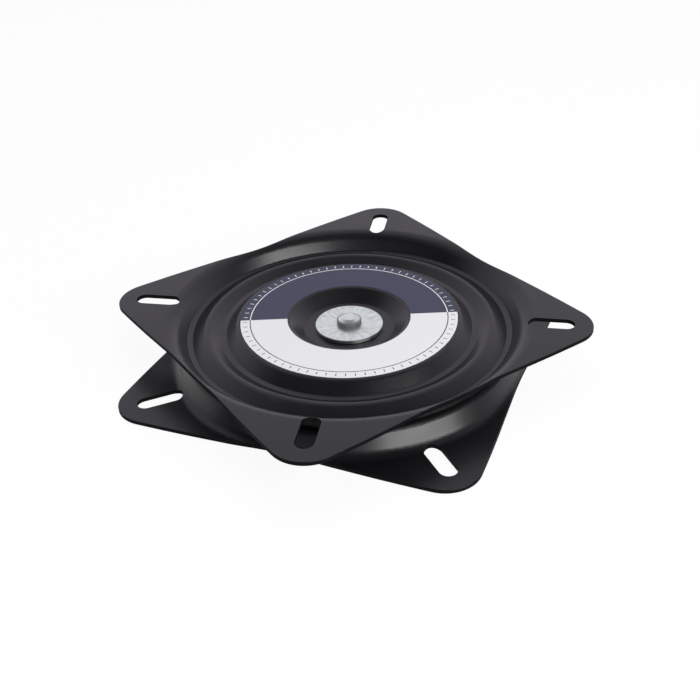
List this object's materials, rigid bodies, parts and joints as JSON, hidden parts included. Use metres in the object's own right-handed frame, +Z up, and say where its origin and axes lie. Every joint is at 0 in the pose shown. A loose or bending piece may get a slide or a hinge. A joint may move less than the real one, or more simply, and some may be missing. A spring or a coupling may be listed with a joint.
{
  "type": "swivel seat base",
  "caption": "Low square swivel for a seat: twin pressed steel plates with radial corner slots, turning freely on a nylon runner ring and a central rivet.",
  "frame": {"origin": "on the pivot axis, at the underside of the lower plate's corner flats", "axes": "+Z up along the pivot axis; X and Y along the lower plate's diagonals"},
  "size_m": [0.2336, 0.2336, 0.0241],
  "materials": {
    "black_coated_steel": "semi-gloss black coat on pressed steel sheet",
    "nylon": "moulded nylon",
    "zinc_plated_steel": "bright zinc plate",
    "printed_label": "satin printed sticker"
  },
  "bodies": {
    "base": {"lower_plate": "black_coated_steel", "slide_runner": "nylon", "thrust_washer": "nylon", "lower_washer": "zinc_plated_steel", "upper_washer": "zinc_plated_steel", "pivot_rivet": "zinc_plated_steel"},
    "top": {"upper_plate": "black_coated_steel", "label": "printed_label"}
  },
  "joints": [
    {"name": "swivel", "type": "hinge", "parent": "base", "child": "top", "pos_m": [0, 0, 0], "axis": [0, 0, 1], "continuous": true}
  ]
}
